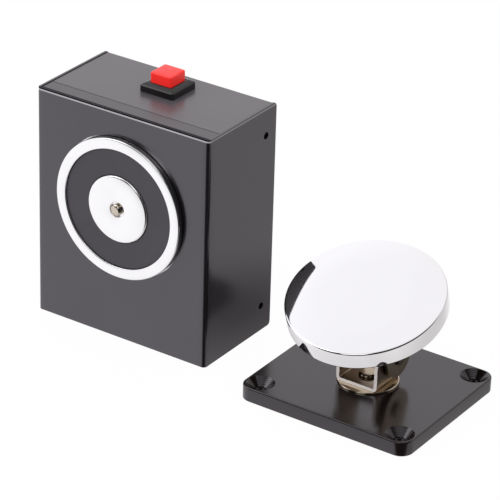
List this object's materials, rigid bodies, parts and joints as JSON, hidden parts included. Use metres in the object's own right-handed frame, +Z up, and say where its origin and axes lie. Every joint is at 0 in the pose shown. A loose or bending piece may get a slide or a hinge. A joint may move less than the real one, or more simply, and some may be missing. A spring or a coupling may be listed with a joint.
{
  "type": "electromagnetic door holder",
  "caption": "Wall-mounted box electromagnet with a push-button release, and the swivelling, tilting armature disc on its door plate that it holds.",
  "frame": {"origin": "on the floor plane, under the middle of the box that bounds both units as they stand side by side", "axes": "+Z up; the magnet's face looks along -Y and the wall face along +Y; +X runs from the wall unit to the door unit"},
  "size_m": [0.203, 0.076, 0.1185],
  "materials": {
    "case_paint": "satin black paint",
    "plate_paint": "smooth black paint",
    "bright_steel": "bright nickel plate over turned steel",
    "disc_chrome": "bright plate, finely ground",
    "swivel_steel": "yellow-tinged plate on pressed steel",
    "zinc": "bright zinc plate",
    "spring_steel": "drawn wire",
    "pin_brass": "turned, plain",
    "copper": "enamelled copper wire",
    "contact_brass": "stamped, plain",
    "resin": "cast black resin",
    "bobbin_plastic": "moulded",
    "bezel_plastic": "moulded black, low gloss",
    "button_red": "moulded red",
    "bush_rubber": "moulded black",
    "board": "green solder resist",
    "terminal_plastic": "moulded green",
    "lead_red": "red insulation",
    "lead_black": "black insulation",
    "washer_plastic": "natural nylon"
  },
  "bodies": {
    "units": {"front_cover": "case_paint", "back_chassis": "case_paint", "side_tabs": "case_paint", "magnet_frame": "case_paint", "magnet_pot": "bright_steel", "centre_pole": "bright_steel", "pole_nut": "zinc", "coil_bobbin": "bobbin_plastic", "coil_winding": "copper", "resin_face": "resin", "pushoff_spring": "spring_steel", "spring_plug": "zinc", "magnet_screws": "zinc", "button_bezel": "bezel_plastic", "button_spring": "spring_steel", "terminal_blades": "contact_brass", "switch_base": "bezel_plastic", "cable_bush": "bush_rubber", "circuit_board": "board", "board_pillars": "zinc", "board_screws": "zinc", "terminal_block": "terminal_plastic", "terminal_screws": "zinc", "jumper_header": "bezel_plastic", "jumper_link": "bezel_plastic", "clamp_diode": "bezel_plastic", "coil_leads": "lead_red", "switch_leads": "lead_black", "door_plate": "plate_paint", "swivel_washer": "swivel_steel", "swivel_rivet": "swivel_steel"},
    "button": {"button_cap": "button_red", "contact_bridge": "contact_brass"},
    "pushoff": {"pushoff_pin": "pin_brass"},
    "swivel": {"swivel_bracket": "swivel_steel", "hinge_washers": "washer_plastic"},
    "armature": {"armature_bracket": "swivel_steel", "hinge_pin": "swivel_steel", "armature_disc": "disc_chrome", "disc_screw": "zinc", "lock_washer": "zinc"}
  },
  "joints": [
    {"name": "button_press", "type": "slide", "parent": "units", "child": "button", "axis": [0, 0, -1], "range_m": [0, 0.0025], "stiffness_N_per_m": 400, "springref_m": -0.002, "deforming": ["button_spring"]},
    {"name": "pushoff_press", "type": "slide", "parent": "units", "child": "pushoff", "axis": [0, 1, 0], "range_m": [0, 0.0014], "stiffness_N_per_m": 1500, "springref_m": -0.003, "deforming": ["pushoff_spring"]},
    {"name": "bracket_swivel", "type": "hinge", "parent": "units", "child": "swivel", "pos_m": [0.059, 0.00059, 0.0085], "axis": [0, 0, 1], "continuous": true},
    {"name": "armature_tilt", "type": "hinge", "parent": "swivel", "child": "armature", "pos_m": [0.059, 0.00539, 0.02], "axis": [1, 0, 0], "range_deg": [-65.6, 28.4]}
  ]
}
